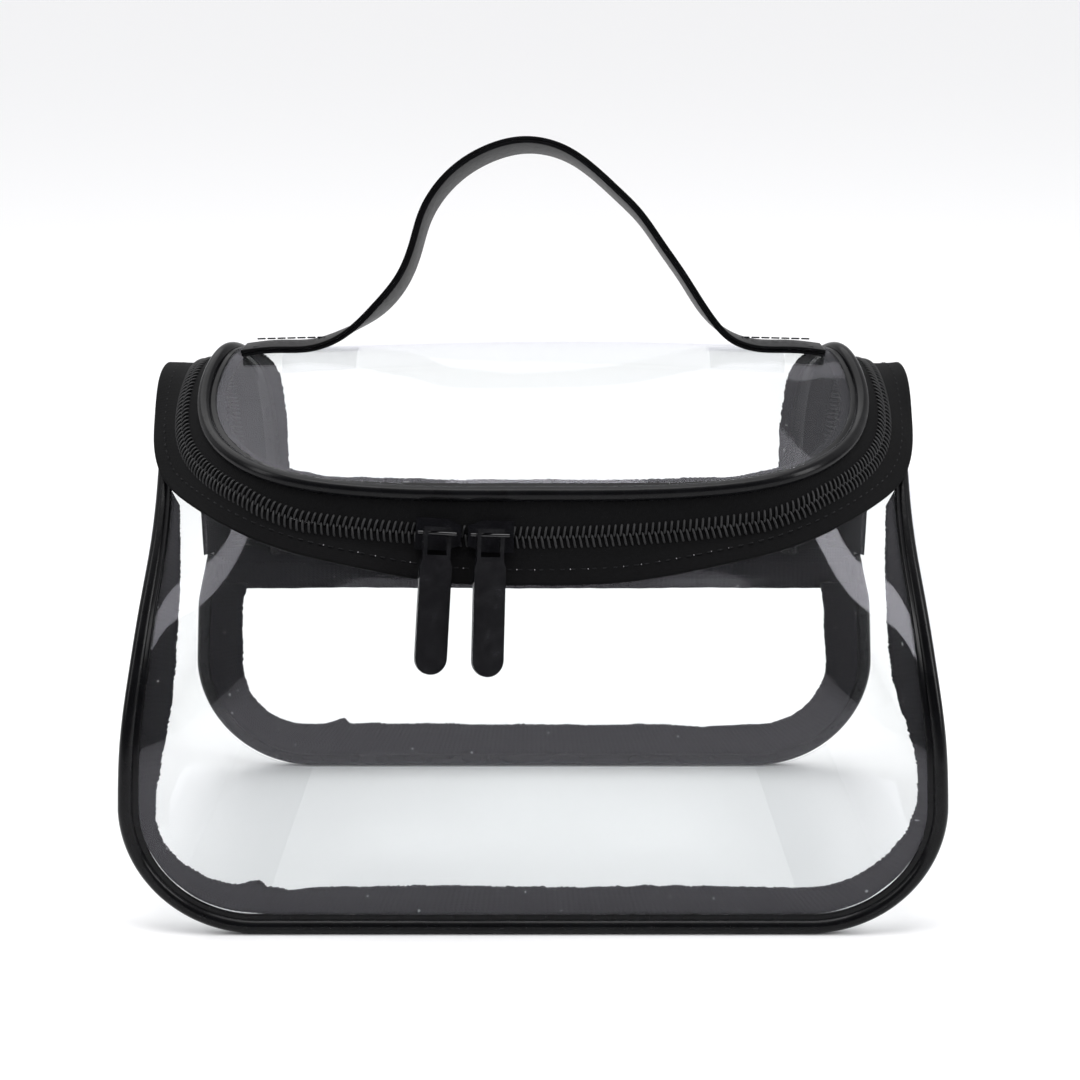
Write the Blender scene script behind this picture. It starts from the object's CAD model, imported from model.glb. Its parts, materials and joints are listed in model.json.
import json
import math

import bpy
import numpy as np
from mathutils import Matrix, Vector


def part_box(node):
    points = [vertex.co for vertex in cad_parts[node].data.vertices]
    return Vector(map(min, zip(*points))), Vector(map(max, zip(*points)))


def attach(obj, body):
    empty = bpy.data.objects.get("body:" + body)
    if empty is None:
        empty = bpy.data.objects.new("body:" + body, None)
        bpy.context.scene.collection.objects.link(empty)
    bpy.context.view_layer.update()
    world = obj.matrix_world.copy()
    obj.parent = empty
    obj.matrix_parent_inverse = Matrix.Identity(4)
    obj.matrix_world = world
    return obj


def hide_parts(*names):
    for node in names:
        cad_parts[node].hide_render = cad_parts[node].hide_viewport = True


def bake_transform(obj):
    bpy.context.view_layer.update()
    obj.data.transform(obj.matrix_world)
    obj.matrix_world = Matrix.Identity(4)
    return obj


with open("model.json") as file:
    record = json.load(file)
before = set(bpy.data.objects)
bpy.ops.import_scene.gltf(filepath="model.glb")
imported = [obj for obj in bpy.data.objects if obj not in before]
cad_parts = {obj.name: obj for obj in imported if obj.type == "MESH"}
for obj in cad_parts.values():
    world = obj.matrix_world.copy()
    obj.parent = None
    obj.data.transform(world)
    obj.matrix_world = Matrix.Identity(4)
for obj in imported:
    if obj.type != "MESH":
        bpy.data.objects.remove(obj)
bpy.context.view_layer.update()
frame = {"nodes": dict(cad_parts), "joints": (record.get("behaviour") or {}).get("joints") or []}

# The clear makeup bag's visual model, in metres, in the CAD model's frame.
# Every soft piece is rebuilt here as a fine mesh on the same lines as the CAD.

MM = 0.001
NODES = frame["nodes"]
JOINTS = {joint["name"]: joint for joint in frame["joints"]}

# ---------------- driving sizes
PVC = 0.0005             # the sheets' thickness
PIPE = 0.0023            # the piping's radius
SEAM = PIPE + 0.00015
PANEL_GAP = 0.0006       # from the piping's tube to a panel's edge
BACK_LEAN = 0.05         # how far the rear leans forward for each metre up
FLANGE = 0.0012          # how far the piping's sewn edge shows beside its tube
HALF_DEPTH = 0.070
CORNER = 0.040
FRONT_CORNER_X = 0.084
BACK_CORNER_X = 0.0795
BULGE = {1: 0.009, -1: 0.004}      # swell of the gusset's right and left side
KNEE = 0.006             # the zip tape is flat up to here, then folds to its seam
FRONT_BINDING = (0.0034, 0.0121)    # near and far edge, from the piping's centre line
BACK_BINDING = (0.0026, 0.0138)
LID_BINDING = (0.0030, 0.0064)
BINDING_BEHIND = 0.0014  # how far a binding lies behind its panel
BINDING_THICK = 0.0009
RIB_PITCH = 0.0016
# Where a binding is crumpled: the share of its length, the spread and the extra width.
FRONT_HUMPS = ((0.305, 0.008, 0.003), (0.335, 0.01, -0.001), (0.225, 0.05, -0.0040),
               (0.805, 0.05, -0.0058))
BACK_HUMPS = ((0.262, 0.01, 0.0026), (0.3, 0.02, 0.0008), (0.7, 0.03, -0.001))
ARC_RADIUS = 0.430
ARC_BOTTOM = np.array((0, -0.0615, 0.122))
ARC_UP = np.array((0, 1, 1)) / math.sqrt(2)
ARC_AXIS = np.array((0, -1, 1)) / math.sqrt(2)
ARC_END_X = 0.078
TAPE_ACROSS = np.array((0, 0.35, 0.9367))
TAPE_OUT = np.array((0, -0.9367, 0.35))
COIL_PITCH = 0.00185
COIL_WIRE = 0.00036
TAPE_THICK = 0.0006
STRAP_WIDTH = 0.018
STRAP_THICK = 0.0022
STRAP_Y = 0.005
PIVOT_Z = JOINTS["handle_swing"]["pos_m"][2]
HANDLE_LEAN = math.radians(18)
STRAP_SKEW = 0.0012      # how far the strap's rear edge stands to the right

# Right halves of the zip's two seams, from the front centre to the rear.
BODY_LINE = np.array([
    (0, -66, 110.2), (30, -65.7, 111.5), (52, -64.5, 115.3), (73, -61, 119.5),
    (91, -52, 124.5), (103, -40, 128), (111, -29, 131.5), (115.3, -18, 137),
    (117.3, -3, 145), (118, 14, 153.5), (117.6, 28, 155), (116.8, 42, 151),
    (115.3, 55, 138), (114.4, 63, 113), (114, 66, 80),
]) * MM
SEAM_TOP = BODY_LINE[7]
LID_LINE = np.array([
    (0, -57, 134), (45, -56, 134.5), (79, -48.5, 138), (93, -35, 142),
    (100, -20, 147), (102, -5, 154.5), (98, 13, 162.5), (94, 30, 158.5),
    (91.5, 46, 149), (90.3, 57, 131), (90, 62, 108), (90, 64.5, 81),
]) * MM
FRONT_SIDE = np.array([
    (124, -70, 40), (123, -67, 60), (120.5, -60, 80), (118, -50, 98),
    (116, -40, 112), (115.2, -29.5, 124.5), (115.3, -18, 137),
]) * MM
BACK_SIDE = np.array([(119.5, 70, 40), (118, 67, 63), (114, 66, 80)]) * MM
# The lid's centre line, with the right end of the row across it.
LID_CENTRE = np.array([
    (0, -55.2, 135.4), (0, -50, 139.4), (0, -38, 147.6), (0, -21, 156.3),
    (0, -5, 162), (0, 12, 164.8), (0, 29, 161), (0, 45, 150),
    (0, 56.5, 132), (0, 62.5, 108), (0, 65, 81.5),
]) * MM
LID_END = np.array([
    (60, -52.4, 137.1), (79, -45.6, 139.6), (90.6, -33.5, 143),
    (97.6, -19.5, 147.8), (99.6, -4.8, 155), (95.6, 13, 162.8),
    (91.6, 30, 158.5), (89.1, 46, 149), (87.9, 57, 131), (87.6, 62, 108),
    (87.6, 64.5, 81.5),
]) * MM
# The strap's front edge (x, z), upright, from the left bend to the right one.
ARCH = np.array([
    (-61.5, 168.2), (-56, 172.3), (-50, 178.5), (-42, 188.8), (-38, 199), (-35, 208.8),
    (-31, 215.8), (-25, 222.3), (-15, 228.5), (-3, 231.4), (10, 228.5), (19, 222.3),
    (26.6, 215.3), (33, 208.8), (40, 199), (47, 188.8), (53.5, 178.5), (57.5, 172.8),
    (62, 168.2),
]) * MM


# ================ geometry
class Line:
    """A smooth line through points, read by its share of the length."""

    def __init__(self, points, mirrored=False, steps=3000):
        points = np.asarray(points, float)
        if mirrored:
            points = np.vstack([flip(points[:0:-1]), points])
        gaps = np.linalg.norm(np.diff(points, axis=0), axis=1)
        knots = np.concatenate([[0], np.cumsum(gaps)])
        bends = self.bends(knots, points)
        t = np.linspace(0, knots[-1], steps)
        i = np.clip(np.searchsorted(knots, t) - 1, 0, len(gaps) - 1)
        h = gaps[i][:, None]
        a = (knots[i + 1] - t)[:, None] / h
        b = (t - knots[i])[:, None] / h
        self.p = (a * points[i] + b * points[i + 1]
                  + ((a**3 - a) * bends[i] + (b**3 - b) * bends[i + 1]) * h**2 / 6)
        runs = np.linalg.norm(np.diff(self.p, axis=0), axis=1)
        self.s = np.concatenate([[0], np.cumsum(runs)])
        self.length = self.s[-1]
        self.mirrored = mirrored

    @staticmethod
    def bends(knots, points):
        """Second derivatives of the natural cubic spline."""
        n = len(knots)
        h = np.diff(knots)
        matrix = np.eye(n)
        right = np.zeros((n, points.shape[1]))
        for i in range(1, n - 1):
            matrix[i, i - 1:i + 2] = h[i - 1], 2 * (h[i - 1] + h[i]), h[i]
            right[i] = 6 * ((points[i + 1] - points[i]) / h[i]
                            - (points[i] - points[i - 1]) / h[i - 1])
        return np.linalg.solve(matrix, right)

    def at(self, share):
        """Points at shares from 0 to 1, or -1 to 1 on a mirrored line."""
        share = np.asarray(share, float)
        if self.mirrored:
            share = (share + 1) / 2
        return np.stack([np.interp(share * self.length, self.s, self.p[:, k])
                         for k in range(self.p.shape[1])], axis=-1)

    def share_of_x(self, x):
        """Where the right half of a mirrored line first reaches each x."""
        shares = np.linspace(0, 1, 1500)
        reach = np.maximum.accumulate(self.at(shares)[:, 0])
        return np.interp(x, reach, shares)


def flip(points):
    """Points mirrored left to right."""
    return points * np.array((-1, 1, 1))


def unit(v):
    """Vectors at length one."""
    return v / np.maximum(np.linalg.norm(v, axis=-1, keepdims=True), 1e-12)


def tangents(path):
    """The direction along a path at each of its points."""
    return unit(np.gradient(path, axis=0))


def run_lengths(path):
    """The length along a polyline at each of its points."""
    return np.concatenate([[0], np.cumsum(np.linalg.norm(np.diff(path, axis=0), axis=1))])


def read_at(t, s, values):
    """Rows of values, given at s, interpolated at t."""
    return np.stack([np.interp(t, s, values[:, k]) for k in range(values.shape[1])], axis=-1)


def resample(path, step=None, count=None):
    """Points along a polyline at an even step, or a number of them."""
    s = run_lengths(path)
    if count is None:
        count = max(int(round(s[-1] / step)) + 1, 2)
    return read_at(np.linspace(0, s[-1], count), s, path)


def grid_normals(grid):
    """The direction out of a grid at each of its points."""
    return unit(np.cross(np.gradient(grid, axis=0), np.gradient(grid, axis=1)))


def arc_lengths(grid, axis):
    """The length walked along one axis of a grid."""
    gaps = np.linalg.norm(np.diff(grid, axis=axis), axis=2)
    zero = np.zeros_like(np.take(gaps, [0], axis=axis))
    return np.concatenate([zero, np.cumsum(gaps, axis=axis)], axis=axis)


def smooth_noise(u, v, seed, waves=5, scale=1.0):
    """Gentle seeded ripples over two coordinates, from -1 to 1."""
    pick = np.random.default_rng(seed)
    total = 0
    for _ in range(waves):
        a, b = pick.uniform(-1, 1, 2) * scale
        total = total + np.sin(a * u + b * v + pick.uniform(0, 6.28))
    return total / waves


# ================ mesh building
def make_object(name, points, faces, uvs=None, smooth=True):
    """A mesh object; faces is an array or a list of vertex numbers."""
    mesh = bpy.data.meshes.new(name)
    mesh.from_pydata(points.tolist(), [], faces if isinstance(faces, list) else faces.tolist())
    if smooth:
        mesh.polygons.foreach_set("use_smooth", np.ones(len(mesh.polygons), bool))
    if uvs is not None:
        layer = mesh.uv_layers.new(name="UVMap")
        loops = np.empty(len(mesh.loops), np.int32)
        mesh.loops.foreach_get("vertex_index", loops)
        layer.data.foreach_set("uv", uvs[loops].astype(np.float32).ravel())
    mesh.validate()
    mesh.update()
    piece = bpy.data.objects.new(name, mesh)
    bpy.context.scene.collection.objects.link(piece)
    return piece


def quads(rows, columns, offset=0, wrap=False):
    """Faces over a grid of vertices; wrap joins the last column to the first."""
    i = np.arange(rows - 1)[:, None]
    j = np.arange(columns if wrap else columns - 1)[None, :]
    k = (j + 1) % columns
    return np.stack([i * columns + j, i * columns + k,
                     (i + 1) * columns + k, (i + 1) * columns + j],
                    axis=-1).reshape(-1, 4) + offset


def rim(rows, columns):
    """The grid's outline as vertex numbers, going round once."""
    top = np.arange(columns)
    right = np.arange(1, rows) * columns + columns - 1
    bottom = (rows - 1) * columns + np.arange(columns - 2, -1, -1)
    left = np.arange(rows - 2, 0, -1) * columns
    return np.concatenate([top, right, bottom, left])


def shell(name, grid, thickness):
    """A closed sheet round a grid of points, with lengths as its UVs."""
    rows, columns = grid.shape[:2]
    out = grid_normals(grid)
    uv = np.stack([arc_lengths(grid, 1), arc_lengths(grid, 0)], axis=-1).reshape(-1, 2)
    top = (grid + out * (thickness / 2)).reshape(-1, 3)
    low = (grid + out * (-thickness / 2)).reshape(-1, 3)
    count = rows * columns
    edge = rim(rows, columns)
    ahead = np.roll(edge, -1)
    faces = np.vstack([
        quads(rows, columns)[:, ::-1],
        quads(rows, columns, count),
        np.stack([edge, ahead, ahead + count, edge + count], axis=-1),
    ])
    return make_object(name, np.vstack([top, low]), faces[:, ::-1], np.vstack([uv, uv]))


def sweep_arrays(path, side, out, section):
    """Vertices and quads of a closed section swept along a path."""
    rows, columns = len(path), len(section)
    points = (path[:, None] + side[:, None] * section[None, :, :1]
              + out[:, None] * section[None, :, 1:]).reshape(-1, 3)
    return points, quads(rows, columns, wrap=True)


def sweep(name, parts):
    """Joins several sweeps (path, side, out, section) in one closed mesh."""
    all_points, all_faces, all_uvs = [], [], []
    offset = 0
    for path, side, out, section in parts:
        points, faces = sweep_arrays(path, side, out, section)
        columns = len(section)
        caps = [np.arange(columns)[::-1], np.arange(columns) + (len(path) - 1) * columns]
        hubs = np.array([path[0] + side[0] * section[:, 0].mean() + out[0] * section[:, 1].mean(),
                         path[-1] + side[-1] * section[:, 0].mean() + out[-1] * section[:, 1].mean()])
        fan = []
        for hub, ring in zip((len(points), len(points) + 1), caps):
            fan += [(ring[i], ring[(i + 1) % columns], hub, hub) for i in range(columns)]
        runs = run_lengths(path)
        girth = run_lengths(section)
        uv = np.stack(np.meshgrid(girth, runs), axis=-1).reshape(-1, 2)
        all_points += [points, hubs]
        all_faces += [faces + offset, np.array(fan) + offset]
        all_uvs += [uv, np.array([(0, 0), (0, runs[-1])])]
        offset += len(points) + 2
    faces = [tuple(dict.fromkeys(f)) for f in np.vstack(all_faces).tolist()]
    return make_object(name, np.vstack(all_points), faces, np.vstack(all_uvs))


def circle(radius, count):
    """Points round a circle, anticlockwise."""
    a = np.linspace(0, 2 * math.pi, count, endpoint=False)
    return np.stack([radius * np.cos(a), radius * np.sin(a)], axis=-1)


def round_box(width, height, radius, centre=(0, 0), steps=5):
    """A rounded rectangle, anticlockwise."""
    points = []
    for k, (sx, sy) in enumerate(((1, 1), (-1, 1), (-1, -1), (1, -1))):
        for a in np.linspace(k * 90, k * 90 + 90, steps):
            points.append((centre[0] + sx * (width / 2 - radius) + radius * math.cos(math.radians(a)),
                           centre[1] + sy * (height / 2 - radius) + radius * math.sin(math.radians(a))))
    return np.array(points)


def capsules(name, starts, ends, radius, rise, sides=7):
    """Many short thread stitches, each a round bar that dips at its ends."""
    along = np.linspace(0, 1, 7)
    parts = []
    for a, b, lift in zip(starts, ends, rise):
        direction = unit(b - a)
        side = unit(np.cross(direction, lift))
        out = np.cross(side, direction)
        path = a + (b - a) * along[:, None] + out * (radius * (np.sin(along * math.pi) - 0.5))[:, None]
        fat = np.sqrt(np.clip(1 - (2 * along - 1) ** 4, 0.05, 1))
        ring = circle(radius, sides)
        points = (path[:, None] + (side * ring[:, :1] + out * ring[:, 1:])[None] * fat[:, None, None])
        parts.append(points.reshape(-1, 3))
    base = quads(7, sides, wrap=True)
    size = 7 * sides
    faces = [tuple(f) for k in range(len(parts)) for f in (base + k * size).tolist()]
    for k in range(len(parts)):
        faces.append(tuple(range(k * size + sides - 1, k * size - 1, -1)))
        faces.append(tuple(range(k * size + 6 * sides, k * size + 7 * sides)))
    points = np.vstack(parts)
    return make_object(name, points, faces, points[:, :2])


# ================ the bag's lines
body_line = Line(BODY_LINE, mirrored=True)
lid_line = Line(LID_LINE, mirrored=True)
front_side = Line(FRONT_SIDE)
seam_top_share = float(body_line.share_of_x(SEAM_TOP[0]))


def corner_arc(corner_x, y, inset, share):
    """A right lower corner, from the base to the side."""
    angle = np.radians(90 * (np.asarray(share, float) - 1))
    radius = CORNER - inset
    return np.stack([corner_x + radius * np.cos(angle), np.full_like(angle, y),
                     CORNER + radius * np.sin(angle)], axis=-1)


def front_point(share, height, inset):
    """Points of the front panel: share -1 to 1 across, height 0 to 1 up."""
    share, height = np.broadcast_arrays(np.asarray(share, float), np.asarray(height, float))
    edge = front_side.at(height) - np.array((inset, 0, 0))
    shape = body_line.at(share * seam_top_share)
    corner, centre = body_line.at(seam_top_share), body_line.at(0)
    rise = (corner[2] - centre[2]) * height**2
    centre_y = -HALF_DEPTH + (centre[1] + HALF_DEPTH) * height
    depth = edge[..., 1] - centre_y
    return np.stack([
        shape[..., 0] * edge[..., 0] / corner[0],
        centre_y + depth * (shape[..., 1] - centre[1]) / (corner[1] - centre[1]),
        edge[..., 2] - rise * (corner[2] - shape[..., 2]) / (corner[2] - centre[2]),
    ], axis=-1)


def share_inside(distance, height):
    """The front panel's share that lies a distance inside its side edge."""
    shares = np.linspace(1, 0.6, 81)
    rows = front_point(shares[None], height[:, None], PIPE)
    steps = np.linalg.norm(np.diff(rows, axis=1), axis=2)
    walked = np.hstack([np.zeros((len(height), 1)), np.cumsum(steps, axis=1)])
    return np.array([np.interp(distance, row, shares) for row in walked])


def front_half(inset, step=0.0015, reach=1.0):
    """The front seam's right half: base, corner and side."""
    base = np.stack([np.linspace(0, FRONT_CORNER_X, 60), np.full(60, -HALF_DEPTH),
                     np.full(60, inset)], axis=-1)
    corner = corner_arc(FRONT_CORNER_X, -HALF_DEPTH, inset, np.linspace(0, 1, 60))
    height = np.linspace(0, reach, 90)
    share = share_inside(max(inset - PIPE, 0), height)
    side = front_point(share, height, min(inset, PIPE))
    return resample(np.vstack([base, corner[1:], side[1:]]), step)


def whole(half):
    """A mirrored half and the half itself, as one path."""
    return np.vstack([flip(half[:0:-1]), half])


def lid_surface(share, along):
    """Points of the lid: share -1 to 1 across, along 0 (front) to 1 (rear)."""
    share, along = np.broadcast_arrays(np.asarray(share, float), np.asarray(along, float))
    centre, end = lid_centre.at(along), lid_end.at(along)
    drop = np.abs(share)[..., None] ** 2.2
    point = centre + (end - centre) * drop
    point[..., 0] = end[..., 0] * share
    return point


def paired_lines(first, second, steps=1200):
    """Two lines whose shares keep their points side by side."""
    a, b = Line(first, steps=steps), Line(second, steps=steps)
    mean_a, mean_b = run_lengths(first), run_lengths(second)
    mean = (mean_a / mean_a[-1] + mean_b / mean_b[-1]) / 2
    for line, own in ((a, mean_a / mean_a[-1]), (b, mean_b / mean_b[-1])):
        t = np.interp(np.linspace(0, 1, steps), mean, own)
        line.p = line.at(t)
        line.s = np.linspace(0, line.length, steps)
    return a, b


lid_centre, lid_end = paired_lines(LID_CENTRE, LID_END)


def soften(values, reach):
    """Rows of values, each the mean of those within reach of it."""
    kernel = np.ones(2 * reach + 1) / (2 * reach + 1)
    padded = np.vstack([values[:1]] * reach + [values] + [values[-1:]] * reach)
    return np.stack([np.convolve(padded[:, k], kernel, "valid")
                     for k in range(values.shape[1])], axis=-1)


def turn(points, degrees):
    """Turns offsets about the zip arc's axis."""
    t = np.radians(np.asarray(degrees, float))[..., None]
    cross = np.cross(ARC_AXIS, points)
    dot = (points @ ARC_AXIS)[..., None]
    return points * np.cos(t) + cross * np.sin(t) + ARC_AXIS * dot * (1 - np.cos(t))


def zip_path(step):
    """Points along the zip, left rear to right rear, with up, out and both seams."""
    x = np.linspace(0, ARC_END_X, 60)
    degrees = np.degrees(np.arcsin(x / ARC_RADIUS))
    centre = ARC_BOTTOM + ARC_UP * ARC_RADIUS
    point = centre + turn(np.tile(ARC_BOTTOM - centre, (60, 1)), degrees)
    up = turn(np.tile(TAPE_ACROSS, (60, 1)), degrees)
    out = turn(np.tile(TAPE_OUT, (60, 1)), degrees)
    lid_share = lid_line.share_of_x(x * 0.97)
    body_share = body_line.share_of_x(x * 1.03)
    more = np.linspace(0, 1, 200)[1:]
    lid_more = lid_share[-1] + (1 - lid_share[-1]) * more
    body_more = body_share[-1] + (1 - body_share[-1]) * more
    lid_edge, body_edge = lid_line.at(lid_more), body_line.at(body_more)
    up_more = unit(lid_edge - body_edge)
    ahead = unit(np.gradient(body_edge, axis=0))
    out_more = unit(np.cross(ahead, up_more))
    point = np.vstack([point, (lid_edge + body_edge) / 2])
    up, out = np.vstack([up, up_more]), np.vstack([out, out_more])
    lid_all = np.concatenate([lid_share, lid_more])
    body_all = np.concatenate([body_share, body_more])
    runs = run_lengths(point)
    t = np.linspace(0, runs[-1], int(runs[-1] / step) + 1)
    point = soften(point, 8)
    up, out = unit(read_at(t, runs, soften(up, 12))), unit(read_at(t, runs, soften(out, 12)))
    lid_edge = lid_line.at(np.interp(t, runs, lid_all))
    body_edge = body_line.at(np.interp(t, runs, body_all))
    return [whole(v) for v in (read_at(t, runs, point), up, out, lid_edge, body_edge)]


# ================ materials
def new_material(name):
    """A node material with its tree and its shader."""
    material = bpy.data.materials.new(name)
    material.use_nodes = True
    tree = material.node_tree
    shader = tree.nodes["Principled BSDF"]
    return material, tree, shader


def add(tree, kind, **values):
    """A node, with values for its sockets or its settings."""
    node = tree.nodes.new(kind)
    for key, value in values.items():
        if key in node.inputs:
            node.inputs[key].default_value = value
        else:
            setattr(node, key, value)
    return node


def link(tree, source, target):
    """Joins an output to an input."""
    tree.links.new(source, target)


def bump_from(tree, shader, height, strength, distance):
    """Bump from a height, on the shader."""
    bump = add(tree, "ShaderNodeBump", Strength=strength, Distance=distance)
    link(tree, height, bump.inputs["Height"])
    link(tree, bump.outputs["Normal"], shader.inputs["Normal"])
    return bump


def uv_scaled(tree, scale):
    """UV coordinates, which are in metres, times a scale."""
    uv = add(tree, "ShaderNodeUVMap", uv_map="UVMap")
    mapping = add(tree, "ShaderNodeMapping")
    mapping.inputs["Scale"].default_value = scale
    link(tree, uv.outputs["UV"], mapping.inputs["Vector"])
    return mapping.outputs["Vector"]


def object_scaled(tree, scale):
    """Object coordinates times a scale."""
    coords = add(tree, "ShaderNodeTexCoord")
    mapping = add(tree, "ShaderNodeMapping")
    mapping.inputs["Scale"].default_value = (scale,) * 3
    link(tree, coords.outputs["Object"], mapping.inputs["Vector"])
    return mapping.outputs["Vector"]


def ramp(tree, source, low, high, low_at=0.3, high_at=0.7):
    """A value turned into a colour between two."""
    node = add(tree, "ShaderNodeValToRGB")
    node.color_ramp.elements[0].position = low_at
    node.color_ramp.elements[1].position = high_at
    node.color_ramp.elements[0].color = (*low, 1)
    node.color_ramp.elements[1].color = (*high, 1)
    link(tree, source, node.inputs["Fac"])
    return node.outputs["Color"]


def clear_pvc(name, tint, haze, roughness):
    """Clear soft sheet: what is behind it, a sharp sheen, and a little haze.

    The sheet is scuffed where it stands on the table, so its sheen is blurred
    there, and slow ripples bend the sheen everywhere.
    """
    material, tree, shader = new_material(name)
    tree.nodes.remove(shader)
    output = tree.nodes["Material Output"]
    where = object_scaled(tree, 14)
    ripples = add(tree, "ShaderNodeTexNoise", Scale=1.0, Detail=2.0, Roughness=0.45)
    link(tree, where, ripples.inputs["Vector"])
    bump = add(tree, "ShaderNodeBump", Strength=0.35, Distance=0.004)
    link(tree, ripples.outputs["Fac"], bump.inputs["Height"])
    place = add(tree, "ShaderNodeSeparateXYZ")
    link(tree, object_scaled(tree, 1), place.inputs["Vector"])
    scuff = add(tree, "ShaderNodeMapRange")
    for socket, value in (("From Min", 0.001), ("From Max", 0.02), ("To Min", 0.45), ("To Max", roughness)):
        scuff.inputs[socket].default_value = value
    link(tree, place.outputs["Z"], scuff.inputs["Value"])
    see = add(tree, "ShaderNodeBsdfTransparent", Color=(*tint, 1))
    gloss = add(tree, "ShaderNodeBsdfAnisotropic", Color=(0.93, 0.91, 1.0, 1))
    link(tree, scuff.outputs["Result"], gloss.inputs["Roughness"])
    link(tree, bump.outputs["Normal"], gloss.inputs["Normal"])
    milk = add(tree, "ShaderNodeBsdfDiffuse", Color=(0.86, 0.87, 0.9, 1))
    hazy = add(tree, "ShaderNodeMixShader", Fac=haze)
    link(tree, see.outputs[0], hazy.inputs[1])
    link(tree, milk.outputs[0], hazy.inputs[2])
    facing = add(tree, "ShaderNodeLayerWeight", Blend=0.5)
    link(tree, bump.outputs["Normal"], facing.inputs["Normal"])
    steep = add(tree, "ShaderNodeMath", operation="POWER")
    steep.inputs[1].default_value = 5.0
    link(tree, facing.outputs["Facing"], steep.inputs[0])
    sheen = add(tree, "ShaderNodeMath", operation="MULTIPLY_ADD")
    sheen.inputs[1].default_value = 0.25
    sheen.inputs[2].default_value = 0.02
    link(tree, steep.outputs[0], sheen.inputs[0])
    mix = add(tree, "ShaderNodeMixShader")
    link(tree, sheen.outputs[0], mix.inputs["Fac"])
    link(tree, hazy.outputs[0], mix.inputs[1])
    link(tree, gloss.outputs[0], mix.inputs[2])
    link(tree, mix.outputs[0], output.inputs["Surface"])
    return material


def black_pvc(name, colour, roughness, gloss, grain, grain_depth):
    """Glossy black vinyl with a fine grain and slow waves in its surface."""
    material, tree, shader = new_material(name)
    where = object_scaled(tree, 1)
    fine = add(tree, "ShaderNodeTexNoise", Scale=grain, Detail=3.0, Roughness=0.6)
    slow = add(tree, "ShaderNodeTexNoise", Scale=180.0, Detail=1.0)
    link(tree, where, fine.inputs["Vector"])
    link(tree, where, slow.inputs["Vector"])
    lighter = tuple(c * 1.6 for c in colour)
    link(tree, ramp(tree, slow.outputs["Fac"], colour, lighter), shader.inputs["Base Color"])
    rough = add(tree, "ShaderNodeMapRange")
    rough.inputs["To Min"].default_value = roughness * 0.8
    rough.inputs["To Max"].default_value = roughness * 1.3
    link(tree, fine.outputs["Fac"], rough.inputs["Value"])
    link(tree, rough.outputs["Result"], shader.inputs["Roughness"])
    first = add(tree, "ShaderNodeBump", Strength=0.4, Distance=grain_depth)
    link(tree, fine.outputs["Fac"], first.inputs["Height"])
    second = bump_from(tree, shader, slow.outputs["Fac"], 0.3, 0.0003)
    link(tree, first.outputs["Normal"], second.inputs["Normal"])
    shader.inputs["Specular IOR Level"].default_value = gloss
    return material


def woven(name, colour, across, along, depth, sheen=0.1, specks=0.0):
    """Woven tape: two crossing sets of yarns, from the UVs in metres.

    Specks is how pale the few loose ends of thread are, from 0 for none.
    """
    material, tree, shader = new_material(name)
    weft = add(tree, "ShaderNodeTexWave", wave_type="BANDS", bands_direction="X", Scale=1.0, Distortion=0.25)
    warp = add(tree, "ShaderNodeTexWave", wave_type="BANDS", bands_direction="Y", Scale=1.0, Distortion=0.25)
    link(tree, uv_scaled(tree, (across, across * 0.15, 1)), weft.inputs["Vector"])
    link(tree, uv_scaled(tree, (along * 0.4, along, 1)), warp.inputs["Vector"])
    both = add(tree, "ShaderNodeMath", operation="MULTIPLY_ADD")
    link(tree, weft.outputs["Fac"], both.inputs[0])
    both.inputs[1].default_value = 0.6
    link(tree, warp.outputs["Fac"], both.inputs[2])
    where = object_scaled(tree, 1)
    fuzz = add(tree, "ShaderNodeTexNoise", Scale=900.0, Detail=2.0)
    link(tree, where, fuzz.inputs["Vector"])
    lighter = tuple(c * 1.6 for c in colour)
    base = ramp(tree, fuzz.outputs["Fac"], colour, lighter, 0.35, 0.8)
    if specks:
        lint = add(tree, "ShaderNodeTexNoise", Scale=650.0, Detail=0.0)
        link(tree, where, lint.inputs["Vector"])
        pale = ramp(tree, lint.outputs["Fac"], (0, 0, 0), (specks,) * 3, 0.81, 0.84)
        mix = add(tree, "ShaderNodeMix", data_type="RGBA", blend_type="ADD")
        mix.inputs["Factor"].default_value = 1.0
        link(tree, base, mix.inputs["A"])
        link(tree, pale, mix.inputs["B"])
        base = mix.outputs["Result"]
    link(tree, base, shader.inputs["Base Color"])
    shader.inputs["Roughness"].default_value = 0.8
    shader.inputs["Specular IOR Level"].default_value = 0.1
    shader.inputs["Sheen Weight"].default_value = sheen
    shader.inputs["Sheen Roughness"].default_value = 0.4
    bump_from(tree, shader, both.outputs[0], 0.5, depth)
    return material


def enamel(name, colour, roughness, coat):
    """A smooth black finish with faint orange peel and worn specks."""
    material, tree, shader = new_material(name)
    where = object_scaled(tree, 1)
    peel = add(tree, "ShaderNodeTexNoise", Scale=1100.0, Detail=1.5)
    marks = add(tree, "ShaderNodeTexNoise", Scale=260.0, Detail=4.0)
    link(tree, where, peel.inputs["Vector"])
    link(tree, where, marks.inputs["Vector"])
    lighter = tuple(c * 2 for c in colour)
    link(tree, ramp(tree, marks.outputs["Fac"], colour, lighter, 0.5, 0.85), shader.inputs["Base Color"])
    rough = add(tree, "ShaderNodeMapRange")
    rough.inputs["To Min"].default_value = roughness * 0.7
    rough.inputs["To Max"].default_value = roughness * 1.5
    link(tree, marks.outputs["Fac"], rough.inputs["Value"])
    link(tree, rough.outputs["Result"], shader.inputs["Roughness"])
    shader.inputs["Specular IOR Level"].default_value = 0.3
    shader.inputs["Coat Weight"].default_value = coat
    shader.inputs["Coat Roughness"].default_value = 0.08
    bump_from(tree, shader, peel.outputs["Fac"], 0.25, 0.0001)
    return material


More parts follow.
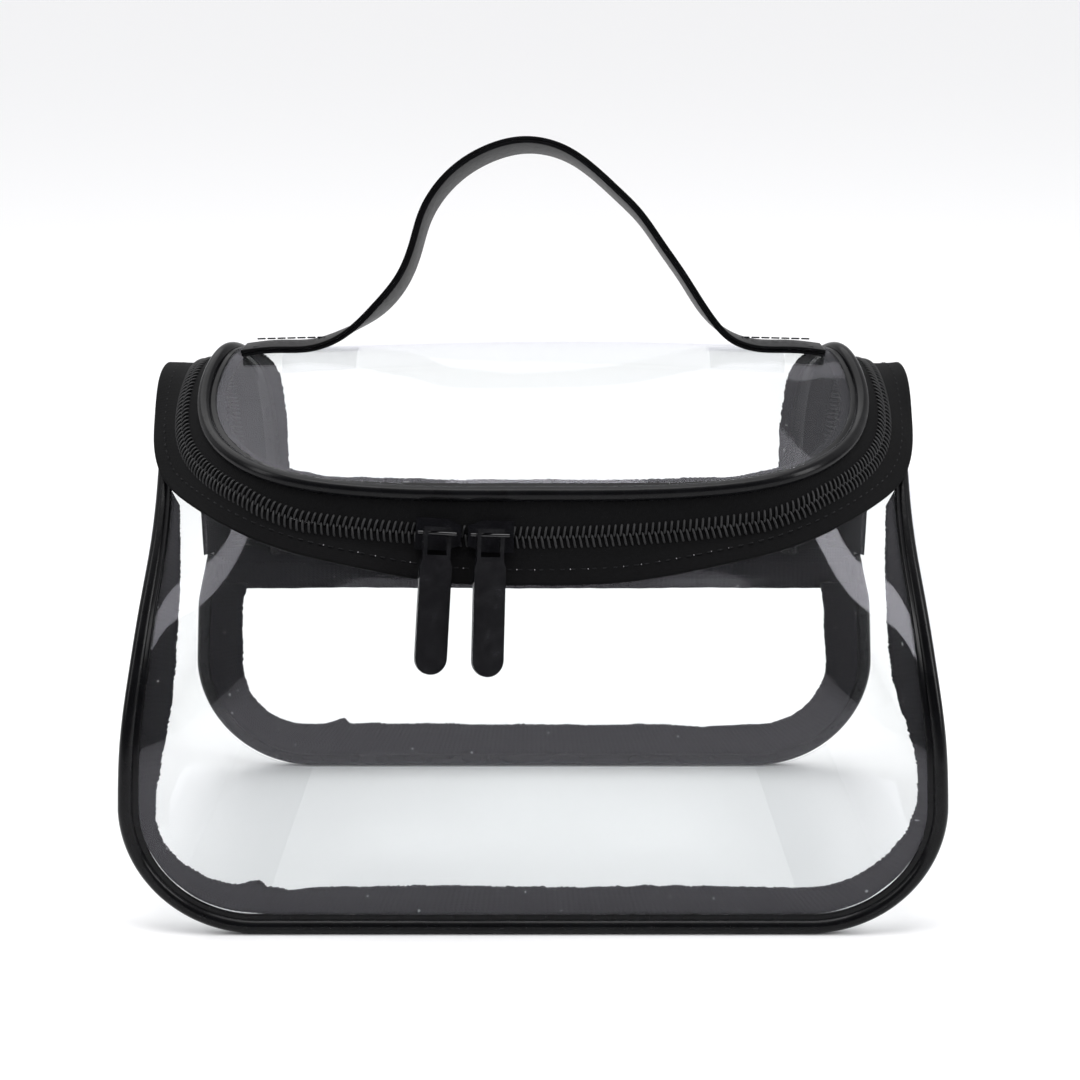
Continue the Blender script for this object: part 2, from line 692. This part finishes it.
MATERIALS = {
    "clear_pvc": clear_pvc("clear_pvc", (0.968, 0.973, 0.972), 0.008, 0.05),
    "clear_patch": clear_pvc("clear_patch", (0.97, 0.972, 0.972), 0.01, 0.07),
    "black_pvc": black_pvc("black_pvc", (0.003, 0.003, 0.0035), 0.22, 0.15, 900.0, 0.00005),
    "strap_pvc": black_pvc("strap_pvc", (0.003, 0.003, 0.0035), 0.38, 0.05, 700.0, 0.00004),
    "zip_tape": woven("zip_tape", (0.002, 0.002, 0.0023), 500.0, 420.0, 0.00008, 0.02),
    "binding": woven("binding", (0.004, 0.0036, 0.005), 350.0, 300.0, 0.00009, 0.05, 0.2),
    "coil": enamel("coil", (0.016, 0.016, 0.017), 0.45, 0.0),
    "slider": enamel("slider", (0.004, 0.004, 0.005), 0.22, 0.4),
    "thread": woven("thread", (0.008, 0.008, 0.009), 900.0, 900.0, 0.00008),
    "seam_thread": woven("seam_thread", (0.35, 0.34, 0.36), 900.0, 900.0, 0.00008),
}


def dress(piece, slot, body, *nodes, material=None):
    """Gives a piece its material and slot, its body, and the nodes it stands for."""
    piece.data.materials.append(MATERIALS[material or slot])
    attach(piece, body)
    if nodes:
        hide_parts(*nodes)
    return piece


# ================ panels
def build_front_panel():
    """The clear front sheet."""
    inset = PIPE + PANEL_GAP
    across = np.linspace(-1, 1, 161)
    lower = corner_arc(FRONT_CORNER_X, -HALF_DEPTH, inset, np.linspace(0, 1, 45))
    base = np.stack([across[None] * lower[:, :1], np.full((45, 161), -HALF_DEPTH),
                     np.repeat(lower[:, 2:], 161, axis=1)], axis=-1)
    height = np.linspace(0, 1, 75)[1:]
    upper = front_point(across[None], height[:, None], inset)
    grid = np.vstack([base, upper])
    ripple = smooth_noise(grid[..., 0] * 40, grid[..., 2] * 55, 3)
    fade = np.clip(1 - np.abs(across) ** 6, 0, 1)[None] * np.clip(grid[..., 2] / 0.02, 0, 1)
    grid[..., 1] += ripple * fade * 0.0009
    piece = dress(shell("front_panel_sheet", grid, PVC), "clear_pvc", "bag", "front_panel")


def build_back_panel():
    """The clear rear sheet, up into the hinge band."""
    inset = PIPE + PANEL_GAP
    across = np.linspace(-1, 1, 121)
    lower = corner_arc(BACK_CORNER_X, HALF_DEPTH, inset, np.linspace(0, 1, 40))
    top = (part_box("hinge_band")[0][2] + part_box("hinge_band")[1][2]) / 2
    z = np.linspace(CORNER, top, 22)[1:]
    side = np.interp(z, BACK_SIDE[:, 2], BACK_SIDE[:, 0]) - inset
    half = np.concatenate([lower[:, 0], side])
    height = np.concatenate([lower[:, 2], z])
    grid = np.stack([across[None] * half[:, None],
                     np.repeat((HALF_DEPTH - height * BACK_LEAN)[:, None], 121, axis=1),
                     np.repeat(height[:, None], 121, axis=1)], axis=-1)
    grid[..., 1] += smooth_noise(grid[..., 0] * 45, grid[..., 2] * 60, 9) * 0.0006 * (1 - np.abs(across) ** 6)
    piece = dress(shell("back_panel_sheet", grid, PVC), "clear_pvc", "bag", "back_panel")


def gusset_half():
    """The gusset's right half, from the bottom's centre up to the zip."""
    depth = np.linspace(0, 1, 81)
    half = PVC / 2
    x_base = np.linspace(0, 1, 40)
    rows = []
    for share in x_base[:-1]:
        front = np.array((FRONT_CORNER_X * share, -HALF_DEPTH + SEAM, half))
        back = np.array((BACK_CORNER_X * share, HALF_DEPTH - SEAM, half))
        rows.append(front + (back - front) * depth[:, None])
    front_corner = corner_arc(FRONT_CORNER_X, -HALF_DEPTH + SEAM, half, np.linspace(0, 1, 40))
    back_corner = corner_arc(BACK_CORNER_X, HALF_DEPTH - SEAM, half, np.linspace(0, 1, 40))
    back_corner[:, 1] -= back_corner[:, 2] * BACK_LEAN
    for front, back in zip(front_corner, back_corner):
        rows.append(front + (back - front) * depth[:, None])
    arch = body_line.at(seam_top_share + (1 - seam_top_share) * depth)
    arch_lift = arch - (arch[0] + (arch[-1] - arch[0]) * depth[:, None])
    for height in np.linspace(0, 1, 70)[1:]:
        front = front_side.at(height) + np.array((-half, SEAM, 0))
        z = CORNER + (BACK_SIDE[-1, 2] - CORNER) * height
        back = np.array((np.interp(z, BACK_SIDE[:, 2], BACK_SIDE[:, 0]) - half,
                         HALF_DEPTH - SEAM - z * BACK_LEAN, z))
        rows.append(front + (back - front) * depth[:, None] + arch_lift * height**2)
    return np.array(rows), depth


def build_gusset():
    """The clear strip that makes the bottom and both sides."""
    grid, depth = gusset_half()
    count = len(grid)
    side = np.clip((np.arange(count) - 79) / 69, 0, 1)
    swell = np.sin(math.pi * side**0.8)[:, None] ** 2 * np.sin(math.pi * depth)[None]
    halves = {}
    for sign in (1, -1):
        half = grid.copy()
        ripple = smooth_noise(half[..., 1] * 50, half[..., 2] * 45, 5 + sign, scale=1.2)
        ends = np.clip(side * 5, 0, 1) * np.clip((1 - side) * 6, 0, 1)
        edge = np.sin(math.pi * depth)[None] * ends[:, None]
        half[..., 0] += swell * BULGE[sign] + ripple * edge * 0.0012
        halves[sign] = half * np.array((sign, 1, 1))
    full = np.vstack([halves[-1][:0:-1], halves[1]])
    piece = dress(shell("gusset_sheet", full, PVC), "clear_pvc", "bag", "gusset")


def lid_grid(shares, alongs):
    """The lid with its slow ripples."""
    grid = lid_surface(shares[None], alongs[:, None])
    fade = np.clip(1 - np.abs(shares) ** 5, 0, 1)[None] * np.sin(math.pi * np.clip(alongs, 0, 1))[:, None]
    ripple = smooth_noise(grid[..., 0] * 38, grid[..., 1] * 42, 21)
    return grid + grid_normals(grid) * (ripple * fade * 0.0009)[..., None]


def build_lid_panel():
    """The clear lid sheet."""
    grid = lid_grid(np.linspace(-1, 1, 161), np.linspace(0, 1, 141))
    piece = dress(shell("lid_panel_sheet", grid, PVC), "clear_pvc", "lid", "lid_panel")


# ================ piping
def piping_sections():
    """The tube's section, and the section of the sewn edge beside it."""
    reach = FLANGE + PIPE
    flange = round_box(reach, 0.0011, 0.0005, (-reach / 2 - 0.0004, 0))
    return circle(PIPE, 28), flange


def pipe_piece(name, path, inward, body, *nodes):
    """Piping: a tube on the seam's line and its sewn flange beside it."""
    ahead = tangents(path)
    side = -unit(inward - ahead * np.sum(inward * ahead, axis=1, keepdims=True))
    out = np.cross(ahead, side)
    tube, flange = piping_sections()
    s = np.arange(len(path)) * 0.02
    path = path + side * (smooth_noise(s, s * 0.3, 31)[:, None] * 0.00012)
    return dress(sweep(name, [(path, side, out, tube), (path, side, out, flange)]),
                 "black_pvc", body, *nodes)


def build_front_piping():
    """The tube in the front seam."""
    half = front_half(PIPE, 0.0012, 0.95)
    path = whole(half)
    inner = whole(front_half(PIPE + 0.004, 0.0012, 0.95))
    share = np.linspace(0, 1, len(path))
    other = np.linspace(0, 1, len(inner))
    inner = np.stack([np.interp(share, other, inner[:, k]) for k in range(3)], axis=-1)
    return pipe_piece("front_piping_tube", path, inner - path, "bag", "front_piping")


def back_half(inset, step, top):
    """The rear seam's right half: base, corner and side up to a height."""
    base = np.stack([np.linspace(0, BACK_CORNER_X, 60), np.full(60, HALF_DEPTH),
                     np.full(60, inset)], axis=-1)
    corner = corner_arc(BACK_CORNER_X, HALF_DEPTH, inset, np.linspace(0, 1, 60))
    z = np.linspace(CORNER, top, 40)
    side = np.stack([np.interp(z, BACK_SIDE[:, 2], BACK_SIDE[:, 0]) - inset,
                     np.full(40, HALF_DEPTH), z], axis=-1)
    half = np.vstack([base, corner[1:], side[1:]])
    half[:, 1] -= half[:, 2] * BACK_LEAN
    return resample(half, step)


def build_back_piping():
    """The tube in the rear seam."""
    path = whole(back_half(PIPE, 0.0012, 0.080))
    centre = np.array((0, HALF_DEPTH - 0.002, 0.06))
    inward = centre - path
    inward[:, 1] = 0
    flat = np.abs(path[:, 0]) < BACK_CORNER_X
    inward[flat] = (0, 0, 1)
    return pipe_piece("back_piping_tube", path, inward, "bag", "back_piping")


def build_lid_piping():
    """The tube round the lid."""
    path = lid_line.at(np.linspace(-1, 1, 520))
    ahead = tangents(path)
    out = lid_outward(path)
    side = np.cross(out, ahead)
    inside = np.array((0, 0.01, 0.15)) - path
    side = side * np.sign(np.sum(side * inside, axis=1, keepdims=True))
    return pipe_piece("lid_piping_tube", path, side, "lid", "lid_piping")


def lid_outward(path):
    """The direction out of the lid beside its seam."""
    shares = np.linspace(-1, 1, 41)
    alongs = np.linspace(0, 1, 120)
    grid = lid_surface(shares[None], alongs[:, None])
    out = grid_normals(grid).reshape(-1, 3)
    points = grid.reshape(-1, 3)
    inside = np.array((0, 0.005, 0.1))
    out = out * np.sign(np.sum(out * (points - inside), axis=1, keepdims=True))
    near = np.array([np.argmin(np.sum((points - p) ** 2, axis=1)) for p in path])
    return unit(soften(out[near], 10))


# ================ bindings
def ribbed_band(name, near, far, out, body, node, seed, humps=()):
    """A ribbed tape between two lines, with ragged and slightly wavy edges.

    Humps are places where the tape is crumpled and stands wider: the share of
    its length, the spread and the extra width.
    """
    count = len(near)
    s = run_lengths((near + far) / 2)
    wave = np.stack([smooth_noise(s * 180, s * 20, seed), smooth_noise(s * 150, s * 30, seed + 1)], axis=-1)
    wave += np.stack([smooth_noise(s * 900, s, seed + 2), smooth_noise(s * 800, s, seed + 3)], axis=-1) * 0.5
    ragged = np.random.default_rng(seed).uniform(-1, 1, count) * 0.0003
    extra = sum((size * np.exp(-((s / s[-1] - share) / spread) ** 2) for share, spread, size in humps),
                np.zeros(count))
    width = unit(far - near)
    near = near + width * wave[:, :1] * 0.0003
    far = far + width * (wave[:, 1:] * 0.0006 + (ragged + extra)[:, None])
    grid = near[:, None] + (far - near)[:, None] * np.linspace(0, 1, 9)[None, :, None]
    ribs = np.sin(s * 2 * math.pi / RIB_PITCH) * 0.00004
    swell = smooth_noise(s * 60, s * 10, seed + 4) * 0.0003
    grid = grid + out[:, None] * (ribs + swell)[:, None, None]
    return dress(shell(name, grid, BINDING_THICK), "binding", body, node)


def build_front_binding():
    """The ribbed tape inside the front seam."""
    near, far = (soften(resample(whole(front_half(PIPE + inset, 0.001, 0.93)), count=1500), 25)
                 for inset in FRONT_BINDING)
    out = unit(np.cross(far - near, tangents(near)))
    out = out * np.sign(out[:, 1:2])
    return ribbed_band("front_binding_tape", near + out * BINDING_BEHIND, far + out * BINDING_BEHIND,
                       out, "bag", "front_seam_binding", 41, FRONT_HUMPS)


def build_back_binding():
    """The ribbed tape inside the rear seam."""
    out = np.tile(np.array((0, -1.0, 0)), (1300, 1))
    near, far = (resample(whole(back_half(PIPE + inset, 0.001, 0.070)), count=1300)
                 + out * BINDING_BEHIND for inset in BACK_BINDING)
    return ribbed_band("back_binding_tape", near, far, out, "bag", "back_seam_binding", 51, BACK_HUMPS)


def build_lid_binding():
    """The ribbed tape inside the lid's seam."""
    share = np.linspace(-0.97, 0.97, 1300)
    path = lid_line.at(share)
    ahead = tangents(path)
    out = lid_outward(path)
    inward = np.cross(out, ahead)
    inward = inward * np.sign(np.sum(inward * (np.array((0, 0.01, 0.15)) - path), axis=1, keepdims=True))
    near = path + inward * LID_BINDING[0] - out * BINDING_BEHIND
    far = path + inward * LID_BINDING[1] - out * BINDING_BEHIND
    return ribbed_band("lid_binding_tape", near, far, -out, "lid", "lid_seam_binding", 61)


def build_hinge_band():
    """The band along the top of the rear panel."""
    low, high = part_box("hinge_band")
    x = np.linspace(-1, 1, 700) * (BACK_SIDE[-1][0] - PIPE)
    y = (low[1] + high[1]) / 2
    near = np.stack([x, np.full(700, y + 0.0004), np.full(700, low[2] + 0.0002)], axis=-1)
    far = np.stack([x, np.full(700, y - 0.0002), np.full(700, high[2] - 0.0002)], axis=-1)
    out = np.tile(np.array((0, 1.0, 0)), (700, 1))
    return ribbed_band("hinge_band_tape", near, far, out, "bag", "hinge_band", 71)


def build_hinge_tape():
    """The soft web that bends between the band and the lid."""
    low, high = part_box("hinge_tape")
    half = BODY_LINE[-1][0] - PIPE
    x = np.linspace(-half, half, 240)
    z = np.linspace(low[2] - 0.0008, high[2] + 0.0012, 14)
    y = (low[1] + high[1]) / 2
    grid = np.stack(np.meshgrid(x, z), axis=-1)
    grid = np.stack([grid[..., 0], np.full_like(grid[..., 0], y), grid[..., 1]], axis=-1)
    piece = shell("hinge_tape_web", grid, TAPE_THICK)
    piece.data.materials.append(MATERIALS["binding"])
    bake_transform(piece)
    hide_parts("hinge_tape")
    return piece


# ================ zip
def tape_half(side, point, up, out, seams):
    """Rows from the coil, flat to the knee, and on to the seam."""
    edge = seams[0] if side > 0 else seams[1]
    near = point + up * 0.00005 * side
    reach = np.linalg.norm(edge - point, axis=1, keepdims=True)
    knee = point + up * np.minimum(KNEE, 0.45 * reach) * side
    lap = 0.0015 if side < 0 else 0
    end = edge - unit(knee - edge) * lap + out * lap * 0.35
    t = np.linspace(0, 1, 5)[None, :, None]
    first = near[:, None] + (knee - near)[:, None] * t
    second = knee[:, None] + (end - knee)[:, None] * np.linspace(0, 1, 9)[None, 1:, None]
    return np.concatenate([first, second], axis=1)


def build_tapes():
    """The zip's two tapes."""
    point, up, out, lid_seam, body_seam = zip_path(0.0012)
    s = np.arange(len(point)) * 0.0012
    for side, body, node, name in ((1, "lid", "zipper_tape_lid", "zip_tape_upper"),
                                   (-1, "bag", "zipper_tape_body", "zip_tape_lower")):
        grid = tape_half(side, point, up, out, (lid_seam, body_seam))
        across = np.linspace(0, 1, grid.shape[1])
        wave = smooth_noise(s * 55, s * 10, 80 + side)[:, None] * np.sin(across * math.pi)
        grid = grid + out[:, None] * (wave * 0.0005)[..., None] * across[None, :, None]
        dress(shell(name, grid, TAPE_THICK), "zip_tape", body, node)


def build_coils():
    """The zip's two rows of coil."""
    point, up, out, _, _ = zip_path(0.0004)
    runs = run_lengths(point)
    turns = int(runs[-1] / COIL_PITCH)
    steps = 16
    wire = circle(COIL_WIRE, 6)
    for side, body, node, name in ((1, "lid", "zipper_coil_lid", "zip_coil_upper"),
                                   (-1, "bag", "zipper_coil_body", "zip_coil_lower")):
        phase = np.linspace(0, 2 * math.pi * turns, turns * steps + 1)
        shift = 0.25 * COIL_PITCH * side
        s = np.clip(phase / (2 * math.pi) * COIL_PITCH + shift, 0, runs[-1])
        centre, lift, away = (read_at(s, runs, values) for values in (point, up, out))
        path = (centre + lift * (side * (0.00135 - 0.0017 * np.cos(phase)))[:, None]
                + away * (0.00095 * np.sin(phase))[:, None])
        ahead = tangents(path)
        first = unit(np.cross(ahead, away))
        first[np.linalg.norm(np.cross(ahead, away), axis=1) < 1e-3] = (0, 0, 1)
        second = np.cross(ahead, first)
        dress(sweep(name, [(path, first, second, wire)]), "coil", body, node)


# ================ handle
def strap_line():
    """The strap's front edge from end to end, with the direction across it."""
    lean = np.array(((1, 0, 0), (0, math.cos(-HANDLE_LEAN), -math.sin(-HANDLE_LEAN)),
                     (0, math.sin(-HANDLE_LEAN), math.cos(-HANDLE_LEAN))))
    pivot = np.array((0, STRAP_Y, PIVOT_Z))
    upright = np.stack([ARCH[:, 0], np.zeros(len(ARCH)), ARCH[:, 1] - PIVOT_Z], axis=-1)
    arch = upright @ lean.T + pivot
    across = lean @ np.array((0, STRAP_WIDTH, 0)) + np.array((STRAP_SKEW, 0, 0))
    end_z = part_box("handle_end_left")
    flat_high, flat_low = end_z[1][2] - STRAP_THICK / 2, end_z[0][2] + STRAP_THICK / 2
    end_x = -end_z[0][0]
    left = [(-end_x, STRAP_Y, flat_low + 0.0006), (-0.082, STRAP_Y, flat_low + 0.0017),
            (-0.071, STRAP_Y, flat_high)]
    right = [(-x, y, z) for x, y, z in reversed(left)]
    front = np.vstack([left, arch, right])
    flat = np.array((0, STRAP_WIDTH, -0.0012))
    weight = np.concatenate([np.zeros(3), np.clip((arch[:, 2] - PIVOT_Z) / 0.012, 0, 1), np.zeros(3)])
    width = flat + (across - flat) * weight[:, None]
    return front, width


def build_strap():
    """The strap in two layers, bending between the lid and the handle."""
    front, width = strap_line()
    rear = front + width
    a, b = paired_lines(front, rear, 600)
    t = np.linspace(0, 1, 420)
    a, b = a.at(t), b.at(t)
    middle = (a + b) / 2
    side = unit(b - a)
    ahead = tangents(middle)
    out = unit(np.cross(side, ahead))
    out = out * np.sign(out[len(out) // 2, 2])
    half = np.linalg.norm(b - a, axis=1).mean() / 2
    layer = STRAP_THICK / 2
    top = round_box(2 * half, layer * 0.98, 0.0004, (0, layer / 2))
    low = round_box(2 * half - 0.0004, layer * 0.98, 0.0004, (0, -layer / 2))
    piece = sweep("handle_strap_band", [(middle, side, out, top), (middle, side, out, low)])
    piece.data.materials.append(MATERIALS["strap_pvc"])
    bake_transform(piece)
    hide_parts("handle_strap", "handle_bend_left", "handle_bend_right",
                "handle_end_left", "handle_end_right")
    return piece


# ================ metal and small pieces
def dress_nodes():
    """Materials and rounded edges for the small pieces kept from the CAD model."""
    for name in ("slider_body_left", "slider_body_right", "slider_bridge_left", "slider_bridge_right",
                 "zipper_pull_left", "zipper_pull_right"):
        node = NODES[name]
        for slot in node.material_slots:
            slot.material = MATERIALS["slider"]
        bevel = node.modifiers.new("edges", "BEVEL")
        bevel.width = 0.0002
        bevel.segments = 3
        bevel.limit_method = "ANGLE"
        bevel.angle_limit = math.radians(40)
        bevel.harden_normals = True
    for name in ("handle_patch_left", "handle_patch_right"):
        for slot in NODES[name].material_slots:
            slot.material = MATERIALS["clear_patch"]
    for name in ("handle_stitches_left", "handle_stitches_right"):
        for slot in NODES[name].material_slots:
            slot.material = MATERIALS["thread"]


def build_tape_stitches():
    """The stitches that sew the lower tape to the panels, and a few loose thread ends."""
    point, _, out, _, body_seam = zip_path(0.0008)
    edge = body_seam + unit(point - body_seam) * 0.0032
    runs = run_lengths(edge)
    for name, pitch, length, radius, margin, material in (
        ("zip_tape_stitches", 0.0031, 0.0017, 0.0002, 0.004, "thread"),
        ("zip_tape_loose_ends", 0.0052, 0.0003, 0.00016, runs[-1] / 2 - 0.062, "seam_thread"),
    ):
        start = np.arange(margin, runs[-1] - margin, pitch)
        away = read_at(start, runs, out)
        a = read_at(start, runs, edge) + away * 0.0004
        b = read_at(start + length, runs, edge) + away * 0.0004
        dress(capsules(name, a, b, radius, away), "thread", "bag", material=material)


# ================ studio
def build_studio():
    """A wide pale floor under a bright overhead dome that is dim in front."""
    size = 6.0
    corners = np.array([(-size, -size, 0), (size, -size, 0), (size, size, 0), (-size, size, 0)])
    floor = make_object("studio_floor", corners, np.array([(0, 1, 2, 3)]), smooth=False)
    material, _, shader = new_material("studio_floor")
    shader.inputs["Base Color"].default_value = (0.93, 0.93, 0.935, 1)
    shader.inputs["Roughness"].default_value = 0.7
    shader.inputs["Specular IOR Level"].default_value = 0.1
    floor.data.materials.append(material)
    world = bpy.data.worlds.new("studio")
    bpy.context.scene.world = world
    world.use_nodes = True
    tree = world.node_tree
    background = tree.nodes["Background"]
    coords = add(tree, "ShaderNodeTexCoord")
    toward = add(tree, "ShaderNodeVectorMath", operation="DOT_PRODUCT")
    toward.inputs[1].default_value = (0, 0.75, 0.9)
    link(tree, coords.outputs["Generated"], toward.inputs[0])
    link(tree, ramp(tree, toward.outputs["Value"], (0.04, 0.04, 0.045), (0.75, 0.75, 0.76), 0.0, 0.6),
         background.inputs["Color"])
    background.inputs["Strength"].default_value = 1.0
    sun = bpy.data.lights.new("dome_light", "SUN")
    sun.energy = 1.35
    sun.angle = math.radians(60)
    aim(sun, (-0.25, 0.35, 1.0), (0, 0, 0))
    for name, place, target, width, height, power in (
        ("left_softbox", (-1.1, -0.5, 0.75), (0, 0, 0.1), 0.35, 0.9, 4),
        ("right_softbox", (1.15, -0.55, 0.7), (0, 0, 0.1), 0.45, 0.9, 9),
        ("top_softbox", (0, -0.25, 1.4), (0, 0, 0.12), 1.0, 0.5, 7),
    ):
        light = bpy.data.lights.new(name, "AREA")
        light.shape = "RECTANGLE"
        light.size = width
        light.size_y = height
        light.energy = power
        aim(light, place, target)


def aim(light, place, target):
    """Hangs a light at a place, turned to a target."""
    lamp = bpy.data.objects.new(light.name, light)
    lamp.location = place
    lamp.rotation_euler = (Vector(target) - Vector(place)).to_track_quat("-Z", "Y").to_euler()
    bpy.context.scene.collection.objects.link(lamp)


def build_camera():
    """The camera, in front of the bag and above it."""
    data = bpy.data.cameras.new("camera")
    data.lens = 78.4
    data.sensor_width = 36
    data.clip_start = 0.01
    camera = bpy.data.objects.new("camera", data)
    camera.location = (0.0021, -0.7235, 0.3086)
    camera.rotation_euler = (math.radians(90 - 15.8), 0, 0)
    bpy.context.scene.collection.objects.link(camera)
    bpy.context.scene.camera = camera
    bpy.context.scene.view_settings.view_transform = "Standard"


build_front_panel()
build_back_panel()
build_gusset()
build_lid_panel()
build_front_piping()
build_back_piping()
build_lid_piping()
build_front_binding()
build_back_binding()
build_lid_binding()
build_hinge_band()
build_hinge_tape()
build_tapes()
build_coils()
build_strap()
build_tape_stitches()
dress_nodes()
build_studio()
build_camera()
